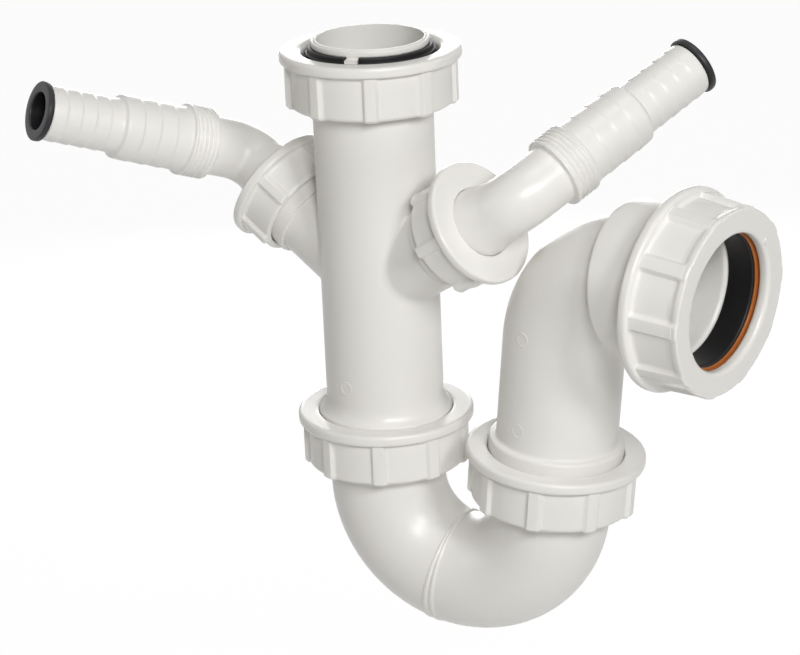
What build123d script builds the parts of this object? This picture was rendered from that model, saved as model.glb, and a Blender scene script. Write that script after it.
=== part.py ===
from build123d import *
import os
from math import cos, pi, radians, sin, tan

# Appliance trap for a sink: an upright body tube with two hose branches, a water seal in
# a U-bend, and an outlet elbow with a compression nut. All sizes are millimetres and degrees.
# The origin is on the inlet axis, on the face that seals against the sink waste. +Z is up,
# and the U-bend runs from the body tube towards +X.

# Clearances
turning_gap = 0.3           # between pieces that turn on each other
thread_gap = 0.35           # radial room between a nut's bore and the thread it runs on
lip_play = 0.08             # radial play of the inlet nut on the body tube
plug_play = 0.06            # radial play of a blanking plug in its nozzle
washer_play = 0.2           # radial room round a washer or seal on its spigot

# Body tube
tube_diameter = 43.0
tube_wall = 2.4
body_length = 136.5         # sealing face to the mid-plane of the body nut's rim

# Inlet end of the body tube
spigot_diameter = 41.0
spigot_height = 4.3
spigot_chamfer = 0.9
inlet_flange_diameter = 46.4
inlet_flange_thickness = 3.0
inlet_washer_diameter = 46.0
inlet_washer_thickness = 3.0
lug_width = 4.6
lug_thickness = 1.2
lug_reach = 2.4             # how far a lug stands out over the washer
lug_angle = -79.0
lug_count = 2

# Ribbed nuts of the inlet and of the two trap joints
rim_diameter = 64.6
rim_thickness = 4.0
rim_rounding = 1.7
nut_length = 20.0
barrel_diameter = 58.8
rib_diameter = 62.0
rib_width = 5.0
rib_count = 9
nut_edge_chamfer = 1.0
inlet_thread_diameter = 47.8
inlet_mouth_chamfer = 1.6
inlet_lip_thickness = 3.4
inlet_nut_drop = 1.2        # sealing face to the mid-plane of the inlet nut's rim

# Trap joints: collar, flange and spigot of the tube, seal, and threaded socket of the bend
collar_diameter = 48.6
lip_clearance = 0.4         # radial room between a collar and the nut's lip
lip_thickness = 3.4
body_collar_height = 1.6    # above the mid-plane of the nut's rim
body_collar_flare = 3.6
leg_collar_height = 6.0
leg_collar_flare = 0.4
flange_diameter = 51.4
flange_thickness = 3.0
joint_spigot_wall = 1.4
joint_spigot_length = 8.0
seal_thickness = 3.0
joint_thread_diameter = 52.0
joint_thread_length = 9.0
socket_taper = 4.5
socket_depth = 9.6
spigot_room = 0.5           # radial room round a spigot in its socket

# U-bend
bend_diameter = 43.5
bend_radius = 33.2
splay = 5.64                # the outlet leg leans away from the body tube
body_leg_length = 24.9      # bend to the mid-plane of the body nut's rim
outlet_leg_length = 22.2    # bend to the mid-plane of the leg nut's rim
bead_angle = 62.0           # round the bend from the body tube
bead_width = 2.2
bead_height = 0.5

# Outlet elbow
elbow_diameter = 43.5
elbow_bend_radius = 32.0
elbow_turn = 88.0
elbow_swivel = -11.4
leg_height = 73.8           # mid-plane of the leg nut's rim to the elbow's corner
outlet_reach = 66.4         # corner to the front face of the outlet nut
outlet_collar_diameter = 54.0
outlet_collar_start = 25.6
outlet_collar_rounding = 1.2
outlet_bore_diameter = 43.8
outlet_bore_depth = 22.0
outlet_thread_diameter = 58.0
outlet_thread_length = 10.2
seat_chamfer = 1.2

# Outlet nut, slip ring and seal
outlet_rim_diameter = 71.6
outlet_rim_thickness = 4.0
outlet_rim_rounding = 1.6
outlet_nut_length = 22.1
outlet_barrel_diameter = 65.0
outlet_face_diameter = 64.0
outlet_face_rounding = 2.6
outlet_panel_depth = 1.7
outlet_rib_width = 6.0
outlet_rib_count = 10
outlet_lip_thickness = 4.4
outlet_hole_diameter = 45.4
outlet_hole_rounding = 2.0
slip_ring_thickness = 1.2
slip_ring_bore_diameter = 44.7
ring_clearance = 0.5        # radial room of the seal and slip ring inside the nut
outlet_seal_bore_diameter = 44.0
outlet_seal_thickness = 5.4

# Hose branches of the body tube
branch_drop = 84.8          # sealing face down to where the branch axes meet
branch_elevation = 31.56
branch_azimuths = {"right": -11.0, "left": 169.0}
branch_core_diameter = 30.4
branch_wall = 2.6
branch_thread_diameter = 33.2
branch_thread_length = 11.0

# Branch nuts and washers
branch_rim_reach = 53.5     # body axis to the mid-plane of the branch nut's rim
branch_rim_diameter = 45.2
branch_rim_thickness = 3.4
branch_rim_rounding = 1.3
branch_nut_length = 15.6
branch_barrel_diameter = 39.0
branch_rib_diameter = 42.0
branch_rib_width = 4.2
branch_rib_count = 6
branch_lip_thickness = 3.0
branch_washer_thickness = 2.6

# Hose nozzles
nozzle_swivels = {"right": -76.5, "left": -84.3}
nozzle_flange_thickness = 2.8
nozzle_root_diameter = 25.0
nozzle_root_clearance = 0.5
nozzle_corner = 19.3        # mid-plane of the branch nut's rim to the nozzle's corner
nozzle_turn = 60.0
nozzle_bend_radius = 13.5
nozzle_neck_diameter = 21.2
nozzle_bore_diameter = 16.8
nozzle_root_bore_diameter = 20.6
thread_collar_diameter = 26.4
thread_collar_start = 15.6
thread_collar_end = 25.7
large_barb_diameter = 24.0
large_barb_end = 54.2
large_barb_count = 4
small_barb_diameter = 20.2
nozzle_length = 81.8
small_barb_count = 5
barb_depth = 0.35

# Blanking plugs
plug_flange_diameter = 21.6
plug_flange_thickness = 2.9
plug_stem_length = 12.0
plug_wall = 1.5
plug_floor = 2.0

# Places that follow from the sizes
tube_radius = tube_diameter / 2
tube_bore = tube_radius - tube_wall
rim_half = rim_thickness / 2
lip_inner_z = rim_half - lip_thickness
flange_top_z = lip_inner_z - turning_gap
flange_bottom_z = flange_top_z - flange_thickness
seal_top_z = flange_bottom_z - turning_gap
socket_end_z = seal_top_z - seal_thickness
nut_bottom_z = rim_half - nut_length
joint_spigot_radius = tube_bore + joint_spigot_wall
elbow_bore = elbow_diameter / 2 - tube_wall
bend_bore = bend_diameter / 2 - tube_wall

body_joint = Pos(0, 0, -body_length)
bend_centre_z = -body_length - body_leg_length
leg_axis = Vector(sin(radians(splay)), 0, cos(radians(splay)))
leg_side = Vector(cos(radians(splay)), 0, -sin(radians(splay)))
bend_end = Vector(bend_radius, 0, bend_centre_z) + leg_side * bend_radius
leg_rim = bend_end + leg_axis * outlet_leg_length
leg_joint = Plane(origin=leg_rim, x_dir=leg_side, z_dir=leg_axis).location
outlet_joint = leg_joint * Rot(0, 0, elbow_swivel)


def turned(*outline):
    """Solid of revolution about Z from an outline of (radius, height) points."""
    return revolve(Plane.XZ * make_face(Polyline(*outline, close=True)), Axis.Z)


def ring(outer, inner, bottom, top):
    """Plain ring between two radii and two heights."""
    return turned((inner, bottom), (outer, bottom), (outer, top), (inner, top))


def rod(radius, bottom, top):
    """Cylinder on Z between two heights."""
    return turned((0, bottom), (radius, bottom), (radius, top), (0, top))


def pipe_bend(radius, start, turn_radius, turn):
    """Round bend that starts at a height on Z and turns from +Z towards +X."""
    axis = Axis((turn_radius, 0, start), (0, 1, 0))
    return revolve(Plane.XY.offset(start) * Circle(radius), axis, turn)


def rounded(solid, radius, rounding):
    """Round the circular edges of one radius."""
    edges = [e for e in solid.edges().filter_by(GeomType.CIRCLE) if abs(e.radius - radius) < 1e-4]
    return fillet(edges, rounding)


def rib_blocks(count, width, reach, bottom, top):
    """Radial blocks spaced evenly round Z."""
    block = Box(reach, width, top - bottom, align=(Align.MIN, Align.CENTER, Align.MIN))
    placed = [Rot(0, 0, 360 / count * i) * Pos(0, 0, bottom) * block for i in range(count)]
    return Part() + placed


def with_ribs(nut, envelope, count, width, reach, bottom, top):
    """Add the part of an envelope ring that lies in evenly spaced blocks."""
    return nut + (envelope & rib_blocks(count, width, reach, bottom, top))


def main_rib_envelope(inner, bottom, top):
    """Ring that bounds the ribs of a main nut, chamfered at its free end."""
    outer = rib_diameter / 2
    edge = nut_edge_chamfer
    return turned((inner, bottom), (outer - edge, bottom), (outer, bottom + edge), (outer, top), (inner, top))


def main_nut(inside):
    """Ribbed nut with a rounded rim at its upper end and the given inside outline."""
    rim = rim_diameter / 2
    barrel = barrel_diameter / 2
    edge = nut_edge_chamfer
    outside = [
        (barrel - edge, nut_bottom_z),
        (barrel, nut_bottom_z + edge),
        (barrel, -rim_half),
        (rim, -rim_half),
        (rim, rim_half),
    ]
    nut = rounded(turned(*outside, *inside), rim, rim_rounding)
    wall_middle = (barrel + joint_thread_diameter / 2) / 2
    envelope = main_rib_envelope(wall_middle, nut_bottom_z, -rim_half)
    return with_ribs(nut, envelope, rib_count, rib_width, rim, nut_bottom_z, -rim_half)


def make_inlet_nut():
    """Nut that hangs on the body tube, with its threaded mouth at the top."""
    thread = inlet_thread_diameter / 2
    hole = tube_radius + lip_play
    lip_top = nut_bottom_z + inlet_lip_thickness
    inside = [
        (thread + inlet_mouth_chamfer, rim_half),
        (thread, rim_half - inlet_mouth_chamfer),
        (thread, lip_top),
        (hole, lip_top),
        (hole, nut_bottom_z),
    ]
    return Pos(0, 0, -inlet_nut_drop) * main_nut(inside)


def make_joint_nut():
    """Nut of a trap joint, closed at the top by a lip over the tube's flange."""
    hole = collar_diameter / 2 + lip_clearance
    bore = joint_thread_diameter / 2 + thread_gap
    inside = [
        (hole, rim_half),
        (hole, lip_inner_z),
        (bore, lip_inner_z),
        (bore, nut_bottom_z),
    ]
    return main_nut(inside)


def tube_end(radius, bore, collar_height, collar_flare):
    """Lower end of a tube in its joint: flared collar, flange and spigot."""
    collar = collar_diameter / 2
    flange = flange_diameter / 2
    spigot_end = flange_bottom_z - joint_spigot_length
    return turned(
        (bore, spigot_end),
        (joint_spigot_radius, spigot_end),
        (joint_spigot_radius, flange_bottom_z),
        (flange, flange_bottom_z),
        (flange, flange_top_z),
        (collar, flange_top_z),
        (collar, collar_height),
        (radius, collar_height + collar_flare),
        (bore, collar_height + collar_flare),
    )


def bend_socket():
    """Threaded socket at an end of the U-bend, tapering down to the bend's tube."""
    thread = joint_thread_diameter / 2
    thread_end = socket_end_z - joint_thread_length
    taper_end = thread_end - socket_taper
    return rod(thread, thread_end, socket_end_z) + turned(
        (0, taper_end),
        (bend_diameter / 2, taper_end),
        (thread, thread_end),
        (0, thread_end),
    )


def joint_seal():
    """Rubber ring between a tube's flange and the rim of the U-bend."""
    inner = joint_spigot_radius + washer_play
    return ring(flange_diameter / 2, inner, socket_end_z, seal_top_z)


def branch_frame(side):
    """Frame of a branch: Z along the branch, X on its upper side."""
    azimuth = radians(branch_azimuths[side])
    rise = radians(branch_elevation)
    out = Vector(cos(rise) * cos(azimuth), cos(rise) * sin(azimuth), sin(rise))
    upper = Vector(-sin(rise) * cos(azimuth), -sin(rise) * sin(azimuth), cos(rise))
    return Plane(origin=(0, 0, -branch_drop), x_dir=upper, z_dir=out).location


branch_rim_half = branch_rim_thickness / 2
branch_rim_top = branch_rim_reach + branch_rim_half
branch_lip_inner = branch_rim_top - branch_lip_thickness
nozzle_flange_top = branch_lip_inner - turning_gap
nozzle_flange_bottom = nozzle_flange_top - nozzle_flange_thickness
branch_washer_top = nozzle_flange_bottom - turning_gap
branch_end = branch_washer_top - branch_washer_thickness
branch_bore = branch_core_diameter / 2 - branch_wall


def make_body_tube():
    """Body tube with its inlet spigot, two threaded branches and lower flange, in one moulding."""
    flange_top = -inlet_washer_thickness
    flange_bottom = flange_top - inlet_flange_thickness
    spigot = spigot_diameter / 2
    inlet = turned(
        (tube_bore, flange_bottom),
        (inlet_flange_diameter / 2, flange_bottom),
        (inlet_flange_diameter / 2, flange_top),
        (spigot, flange_top),
        (spigot, spigot_height - spigot_chamfer),
        (spigot - spigot_chamfer, spigot_height),
        (tube_bore, spigot_height),
    )
    lugs = ring(spigot + lug_reach, (spigot + tube_bore) / 2, 0, lug_thickness)
    lugs &= Rot(0, 0, lug_angle) * rib_blocks(lug_count, lug_width, tube_diameter, 0, lug_thickness)
    lower = body_joint * tube_end(tube_radius, tube_bore, body_collar_height, body_collar_flare)
    branches = []
    bores = [rod(tube_bore, -body_length, 0)]
    for side in branch_azimuths:
        frame = branch_frame(side)
        core = rod(branch_core_diameter / 2, 0, branch_end)
        thread = rod(branch_thread_diameter / 2, branch_end - branch_thread_length, branch_end)
        branches += [frame * (core + thread)]
        bores += [frame * rod(branch_bore, 0, branch_end)]
    tube = rod(tube_radius, body_collar_height - body_length, flange_top)
    return (tube + inlet + branches + lower) - bores + lugs


def make_inlet_washer():
    """Flat rubber washer round the inlet spigot."""
    inner = spigot_diameter / 2 + washer_play
    return ring(inlet_washer_diameter / 2, inner, -inlet_washer_thickness, 0)


def hollow_bend(outer, inner, turn):
    """Ring section carried round the U-bend from the body tube's side."""
    axis = Axis((bend_radius, 0, bend_centre_z), (0, -1, 0))
    section = Circle(outer) - Circle(inner)
    return revolve(Plane.XY.offset(bend_centre_z) * section, axis, turn)


def make_u_bend():
    """U-bend with a threaded socket at each end and a bead round the bend."""
    outer = bend_diameter / 2
    bead_turn = bead_width / bend_radius * 180 / pi
    bead = hollow_bend(outer + bead_height, (outer + bend_bore) / 2, bead_turn)
    axis = Axis((bend_radius, 0, bend_centre_z), (0, -1, 0))
    bead = bead.rotate(axis, bead_angle - bead_turn / 2)
    bend = hollow_bend(outer, bend_bore, 180 - splay) + bead
    recess_radius = joint_spigot_radius + spigot_room
    recess = rod(recess_radius, socket_end_z - socket_depth + seal_thickness, socket_end_z)
    for joint, length in ((body_joint, body_leg_length), (leg_joint, outlet_leg_length)):
        leg = rod(outer, -length, socket_end_z) + bend_socket()
        bend += joint * (leg - rod(bend_bore, -length, socket_end_z) - recess)
    return bend


nut_rear = outlet_reach - outlet_nut_length
outlet_lip_inner = outlet_reach - outlet_lip_thickness
slip_ring_top = outlet_lip_inner - turning_gap
slip_ring_bottom = slip_ring_top - slip_ring_thickness
outlet_end = slip_ring_bottom - outlet_seal_thickness
outlet_corner = leg_height
outlet_bore = outlet_bore_diameter / 2
outlet_thread_bore = outlet_thread_diameter / 2 + thread_gap
outlet_frame = Plane(
    origin=(0, 0, outlet_corner),
    x_dir=(cos(radians(elbow_turn)), 0, -sin(radians(elbow_turn))),
    z_dir=(sin(radians(elbow_turn)), 0, cos(radians(elbow_turn))),
).location


def make_outlet_elbow():
    """Outlet leg, swept elbow and threaded socket for the waste pipe, in one moulding."""
    outer = elbow_diameter / 2
    setback = elbow_bend_radius * tan(radians(elbow_turn / 2))
    bend_start = outlet_corner - setback
    lower = tube_end(outer, tube_bore, leg_collar_height, leg_collar_flare)
    leg = rod(outer, leg_collar_height, bend_start)
    bend = pipe_bend(outer, bend_start, elbow_bend_radius, elbow_turn)
    collar = rod(outlet_collar_diameter / 2, outlet_collar_start, outlet_end)
    collar = rounded(collar, outlet_collar_diameter / 2, outlet_collar_rounding)
    thread = rod(outlet_thread_diameter / 2, outlet_end - outlet_thread_length, outlet_end)
    waterway = rod(elbow_bore, leg_collar_height, bend_start)
    waterway += pipe_bend(elbow_bore, bend_start, elbow_bend_radius, elbow_turn)
    waterway += rod(tube_bore, flange_top_z, leg_collar_height)
    socket_bore = rod(elbow_bore, setback, outlet_end)
    socket_bore += turned(
        (0, outlet_end - outlet_bore_depth),
        (outlet_bore, outlet_end - outlet_bore_depth),
        (outlet_bore, outlet_end - seat_chamfer),
        (outlet_bore + seat_chamfer, outlet_end),
        (0, outlet_end),
    )
    solid = leg + bend + (outlet_frame * (collar + thread)) - waterway - (outlet_frame * socket_bore)
    return outlet_joint * (solid + lower)


def make_outlet_seal():
    """Thick rubber ring that grips the waste pipe."""
    outer = outlet_thread_bore - ring_clearance
    seal = ring(outer, outlet_seal_bore_diameter / 2, outlet_end, slip_ring_bottom)
    return outlet_joint * outlet_frame * seal


def make_outlet_slip_ring():
    """Thin slip ring that keeps the nut from twisting the rubber."""
    outer = outlet_thread_bore - ring_clearance
    slip_ring = ring(outer, slip_ring_bore_diameter / 2, slip_ring_bottom, slip_ring_top)
    return outlet_joint * outlet_frame * slip_ring


def make_outlet_nut():
    """Tapered ribbed nut that squeezes the outlet seal, with a rounded front face."""
    hole = outlet_hole_diameter / 2
    rim = outlet_rim_diameter / 2
    face = outlet_face_diameter / 2
    rim_front = nut_rear + outlet_rim_thickness
    panel_front = outlet_reach - outlet_face_rounding - outlet_panel_depth
    barrel_rear = outlet_barrel_diameter / 2
    barrel_front = face - outlet_panel_depth
    nut = turned(
        (outlet_thread_bore, nut_rear),
        (rim, nut_rear),
        (rim, rim_front),
        (barrel_rear, rim_front),
        (barrel_front, panel_front),
        (face, panel_front),
        (face, outlet_reach),
        (hole, outlet_reach),
        (hole, outlet_lip_inner),
        (outlet_thread_bore, outlet_lip_inner),
    )
    nut = rounded(nut, rim, outlet_rim_rounding)
    front_edges = nut.edges().filter_by(GeomType.CIRCLE).group_by(Axis.Z)[-1].sort_by(SortBy.RADIUS)
    nut = fillet(front_edges[-1], outlet_face_rounding)
    front_edges = nut.edges().filter_by(GeomType.CIRCLE).group_by(Axis.Z)[-1].sort_by(SortBy.RADIUS)
    nut = fillet(front_edges[0], outlet_hole_rounding)
    wall_middle = (outlet_thread_bore + barrel_front) / 2
    envelope = turned(
        (wall_middle, rim_front),
        (barrel_rear + outlet_panel_depth, rim_front),
        (face, panel_front),
        (wall_middle, panel_front),
    )
    nut = with_ribs(nut, envelope, outlet_rib_count, outlet_rib_width, rim, rim_front, panel_front)
    return outlet_joint * outlet_frame * nut


def make_branch_nut(side):
    """Ribbed nut that holds a nozzle's flange on a branch."""
    rim = branch_rim_diameter / 2
    barrel = branch_barrel_diameter / 2
    bore = branch_thread_diameter / 2 + thread_gap
    hole = nozzle_root_diameter / 2 + nozzle_root_clearance
    mouth = branch_rim_top - branch_nut_length
    rim_rear = branch_rim_top - branch_rim_thickness
    nut = turned(
        (bore, mouth),
        (barrel, mouth),
        (barrel, rim_rear),
        (rim, rim_rear),
        (rim, branch_rim_top),
        (hole, branch_rim_top),
        (hole, branch_lip_inner),
        (bore, branch_lip_inner),
    )
    nut = rounded(nut, rim, branch_rim_rounding)
    rib_front = mouth + branch_rim_thickness
    envelope = ring(branch_rib_diameter / 2, (barrel + bore) / 2, rib_front, rim_rear)
    nut = with_ribs(nut, envelope, branch_rib_count, branch_rib_width, rim, rib_front, rim_rear)
    return branch_frame(side) * nut


def make_branch_washer(side):
    """Rubber washer on the end of a branch."""
    washer = ring(branch_thread_diameter / 2, branch_bore, branch_end, branch_washer_top)
    return branch_frame(side) * washer


def barbs(diameter, start, end, count):
    """Outline of shallow hose barbs that rise towards the body and step down at each ring."""
    pitch = (end - start) / count
    points = []
    for i in range(count):
        points += [(diameter / 2, start + pitch * i), (diameter / 2 - barb_depth, start + pitch * (i + 1))]
    return points


nozzle_corner_reach = branch_rim_reach + nozzle_corner
spout_frame = Plane(
    origin=(0, 0, nozzle_corner_reach),
    x_dir=(cos(radians(nozzle_turn)), 0, -sin(radians(nozzle_turn))),
    z_dir=(sin(radians(nozzle_turn)), 0, cos(radians(nozzle_turn))),
).location


def nozzle_frame(side):
    """Frame of a nozzle on its branch, turned to where the hose leaves."""
    return branch_frame(side) * Rot(0, 0, nozzle_swivels[side])


def make_nozzle(side):
    """Bent hose nozzle: flanged root, threaded collar and two sizes of hose barb."""
    neck = nozzle_neck_diameter / 2
    bore = nozzle_bore_diameter / 2
    root = nozzle_root_diameter / 2
    setback = nozzle_bend_radius * tan(radians(nozzle_turn / 2))
    bend_start = nozzle_corner_reach - setback
    flange = branch_thread_diameter / 2
    collar = thread_collar_diameter / 2
    foot = turned(
        (0, nozzle_flange_bottom),
        (flange, nozzle_flange_bottom),
        (flange, nozzle_flange_top),
        (root, nozzle_flange_top),
        (root, branch_rim_top),
        (neck, bend_start),
        (0, bend_start),
    )
    bend = pipe_bend(neck, bend_start, nozzle_bend_radius, nozzle_turn)
    spout = turned(
        (0, setback),
        (neck, setback),
        (neck, thread_collar_start),
        (collar, thread_collar_start),
        (collar, thread_collar_end),
        *barbs(large_barb_diameter, thread_collar_end, large_barb_end, large_barb_count),
        *barbs(small_barb_diameter, large_barb_end, nozzle_length, small_barb_count),
        (0, nozzle_length),
    )
    waterway = turned(
        (0, nozzle_flange_bottom),
        (nozzle_root_bore_diameter / 2, nozzle_flange_bottom),
        (bore, bend_start),
        (0, bend_start),
    )
    waterway += pipe_bend(bore, bend_start, nozzle_bend_radius, nozzle_turn)
    waterway += spout_frame * rod(bore, setback, nozzle_length)
    nozzle = foot + bend + (spout_frame * spout) - waterway
    return nozzle_frame(side) * nozzle


def make_blanking_plug(side):
    """Hollow push-in plug that closes a nozzle until a hose is fitted."""
    stem = nozzle_bore_diameter / 2 - plug_play
    hollow = stem - plug_wall
    flange = plug_flange_diameter / 2
    bottom = nozzle_length - plug_stem_length
    face = nozzle_length + plug_flange_thickness
    plug = turned(
        (0, bottom),
        (stem, bottom),
        (stem, nozzle_length),
        (flange, nozzle_length),
        (flange, face),
        (hollow, face),
        (hollow, bottom + plug_floor),
        (0, bottom + plug_floor),
    )
    return nozzle_frame(side) * spout_frame * plug


nodes = {
    "body_tube": make_body_tube(),
    "inlet_washer": make_inlet_washer(),
    "inlet_nut": make_inlet_nut(),
    "body_nut": body_joint * make_joint_nut(),
    "body_seal": body_joint * joint_seal(),
    "u_bend": make_u_bend(),
    "leg_nut": leg_joint * make_joint_nut(),
    "leg_seal": leg_joint * joint_seal(),
    "outlet_elbow": make_outlet_elbow(),
    "outlet_seal": make_outlet_seal(),
    "outlet_slip_ring": make_outlet_slip_ring(),
    "outlet_nut": make_outlet_nut(),
}
for side in branch_azimuths:
    nodes[side + "_branch_nut"] = make_branch_nut(side)
    nodes[side + "_branch_washer"] = make_branch_washer(side)
    nodes[side + "_nozzle"] = make_nozzle(side)
    nodes[side + "_blanking_plug"] = make_blanking_plug(side)

os.makedirs("parts", exist_ok=True)
for name, shape in nodes.items():
    export_step(shape.solid(), f"parts/{name}.step")
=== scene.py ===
import math

import bmesh
import bpy
import numpy as np
from mathutils import Matrix, Vector


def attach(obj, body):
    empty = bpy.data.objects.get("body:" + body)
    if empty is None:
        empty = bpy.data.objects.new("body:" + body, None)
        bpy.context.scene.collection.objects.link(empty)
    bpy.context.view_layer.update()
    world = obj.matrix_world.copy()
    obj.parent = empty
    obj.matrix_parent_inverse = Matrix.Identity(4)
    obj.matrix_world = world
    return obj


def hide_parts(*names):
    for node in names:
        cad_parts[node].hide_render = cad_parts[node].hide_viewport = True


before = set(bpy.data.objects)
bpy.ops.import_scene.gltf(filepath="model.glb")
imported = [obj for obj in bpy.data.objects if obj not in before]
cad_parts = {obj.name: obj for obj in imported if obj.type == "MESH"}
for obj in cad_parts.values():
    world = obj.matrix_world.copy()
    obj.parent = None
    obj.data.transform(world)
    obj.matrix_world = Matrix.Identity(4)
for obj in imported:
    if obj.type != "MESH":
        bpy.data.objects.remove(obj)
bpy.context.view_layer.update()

# Body tube: one white polypropylene moulding with the inlet spigot on top, a hose branch on
# each side and a flange at the foot. The moulded solid itself is shown, with a fillet where
# each branch leaves the tube, a soft flare above the foot's collar and a small raised ring mark.
MM = 0.001
MERGE_DISTANCE = 1e-7
BODY_LENGTH = 136.5
TUBE_RADIUS = 21.5
BRANCH_DROP = 84.8
BRANCH_RISE = math.radians(31.56)
BRANCH_AZIMUTH = {"right": math.radians(-11.0), "left": math.radians(169.0)}
BRANCH_RADIUS = 15.2
BRANCH_FILLET = 1.8
FILLET_ROOT = 0.5
ROUND_SEGMENTS = 160
ROUND_CREASE = 60
TUBE_WHITE = (0.84, 0.83, 0.80)


def moulded_skin_group():
    """Slow flow marks and fine mould grain: noise of two sizes on Object coordinates."""
    group = bpy.data.node_groups.new("moulded_skin", "ShaderNodeTree")
    face = group.interface
    face.new_socket("Base", in_out="INPUT", socket_type="NodeSocketColor")
    for label in ("Flow", "Roughness"):
        face.new_socket(label, in_out="INPUT", socket_type="NodeSocketFloat")
    face.new_socket("Color", in_out="OUTPUT", socket_type="NodeSocketColor")
    face.new_socket("Roughness", in_out="OUTPUT", socket_type="NodeSocketFloat")
    face.new_socket("Height", in_out="OUTPUT", socket_type="NodeSocketFloat")
    nodes, links = group.nodes, group.links
    start = nodes.new("NodeGroupInput")
    end = nodes.new("NodeGroupOutput")
    place = nodes.new("ShaderNodeTexCoord")
    flow = nodes.new("ShaderNodeTexNoise")
    flow.inputs["Scale"].default_value = 28.0
    flow.inputs["Detail"].default_value = 3.0
    grain = nodes.new("ShaderNodeTexNoise")
    grain.inputs["Scale"].default_value = 900.0
    grain.inputs["Detail"].default_value = 2.0
    links.new(place.outputs["Object"], flow.inputs["Vector"])
    links.new(place.outputs["Object"], grain.inputs["Vector"])
    centred = nodes.new("ShaderNodeMath")
    centred.operation = "SUBTRACT"
    centred.inputs[1].default_value = 0.5
    links.new(flow.outputs["Fac"], centred.inputs[0])
    shade = nodes.new("ShaderNodeMath")
    shade.operation = "MULTIPLY_ADD"
    shade.inputs[2].default_value = 1.0
    links.new(centred.outputs[0], shade.inputs[0])
    links.new(start.outputs["Flow"], shade.inputs[1])
    tint = nodes.new("ShaderNodeVectorMath")
    tint.operation = "SCALE"
    links.new(start.outputs["Base"], tint.inputs[0])
    links.new(shade.outputs[0], tint.inputs["Scale"])
    links.new(tint.outputs["Vector"], end.inputs["Color"])
    gloss = nodes.new("ShaderNodeMath")
    gloss.operation = "MULTIPLY_ADD"
    gloss.inputs[1].default_value = 0.16
    links.new(centred.outputs[0], gloss.inputs[0])
    links.new(start.outputs["Roughness"], gloss.inputs[2])
    links.new(gloss.outputs[0], end.inputs["Roughness"])
    links.new(grain.outputs["Fac"], end.inputs["Height"])
    return group


MOULDED_SKIN = moulded_skin_group()


def moulded_material(name, colour, roughness, flow, bump, specular=0.5):
    """Principled surface whose colour, roughness and grain come from the moulded skin group."""
    material = bpy.data.materials.new(name)
    material.use_nodes = True
    nodes, links = material.node_tree.nodes, material.node_tree.links
    surface = nodes["Principled BSDF"]
    skin = nodes.new("ShaderNodeGroup")
    skin.node_tree = MOULDED_SKIN
    skin.inputs["Base"].default_value = (*colour, 1)
    skin.inputs["Flow"].default_value = flow
    skin.inputs["Roughness"].default_value = roughness
    relief = nodes.new("ShaderNodeBump")
    relief.inputs["Strength"].default_value = bump
    relief.inputs["Distance"].default_value = 0.0001
    links.new(skin.outputs["Color"], surface.inputs["Base Color"])
    links.new(skin.outputs["Roughness"], surface.inputs["Roughness"])
    links.new(skin.outputs["Height"], relief.inputs["Height"])
    links.new(relief.outputs["Normal"], surface.inputs["Normal"])
    surface.inputs["Specular IOR Level"].default_value = specular
    return material


TUBE_PLASTIC = moulded_material("tube_polypropylene", TUBE_WHITE, roughness=0.34, flow=0.03, bump=0.12)


def grid_faces(rows, columns):
    """Quads of a grid that closes on itself in both directions."""
    row, column = np.meshgrid(np.arange(rows), np.arange(columns), indexing="ij")
    below, beside = (row + 1) % rows, (column + 1) % columns
    here, under = row * columns, below * columns
    corners = [here + column, here + beside, under + beside, under + column]
    return np.stack(corners, axis=-1).reshape(-1, 4)


def closed_mesh(name, points, crease):
    """Mesh of a closed grid of points in millimetres, turned so that its volume is positive."""
    rows, columns = points.shape[:2]
    flat = points.reshape(-1, 3) * MM
    faces = grid_faces(rows, columns)
    a, b, c, d = (flat[faces[:, k]] for k in range(4))
    volume = np.einsum("ij,ij->i", a, np.cross(b, c) + np.cross(c, d)).sum()
    if volume < 0:
        faces = faces[:, ::-1]
    mesh = bpy.data.meshes.new(name)
    mesh.from_pydata(flat, [], faces.tolist())
    shell = bmesh.new()
    shell.from_mesh(mesh)
    bmesh.ops.remove_doubles(shell, verts=shell.verts, dist=MERGE_DISTANCE)
    shell.to_mesh(mesh)
    shell.free()
    mesh.shade_smooth()
    mesh.set_sharp_from_angle(angle=math.radians(crease))
    piece = bpy.data.objects.new(name, mesh)
    bpy.context.scene.collection.objects.link(piece)
    return piece


def painted(node, material):
    """Give a solid of the frame its finish, with its mesh left as it is."""
    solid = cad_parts[node].data
    solid.materials.clear()
    solid.materials.append(material)


def dressed(piece, material, slot, body, *replaced):
    """Give a piece its finish, the body that it moves with and the solids that it stands for."""
    piece.data.materials.clear()
    piece.data.materials.append(material)
    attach(piece, body)
    if replaced:
        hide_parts(*replaced)
    return piece


def frame_of(origin, side, along):
    """Local frame as origin, X, Y and Z, from an X direction and a Z direction."""
    side, along = np.array(side, float), np.array(along, float)
    return np.array(origin, float), side, np.cross(along, side), along


def branch_frame(side):
    """Frame of a branch: Z along the branch and X on its upper side."""
    azimuth = BRANCH_AZIMUTH[side]
    upright = np.array((0, 0, 1))
    level = np.array((math.cos(azimuth), math.sin(azimuth), 0))
    out = math.cos(BRANCH_RISE) * level + math.sin(BRANCH_RISE) * upright
    upper = math.cos(BRANCH_RISE) * upright - math.sin(BRANCH_RISE) * level
    return frame_of((0, 0, -BRANCH_DROP), upper, out)


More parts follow.
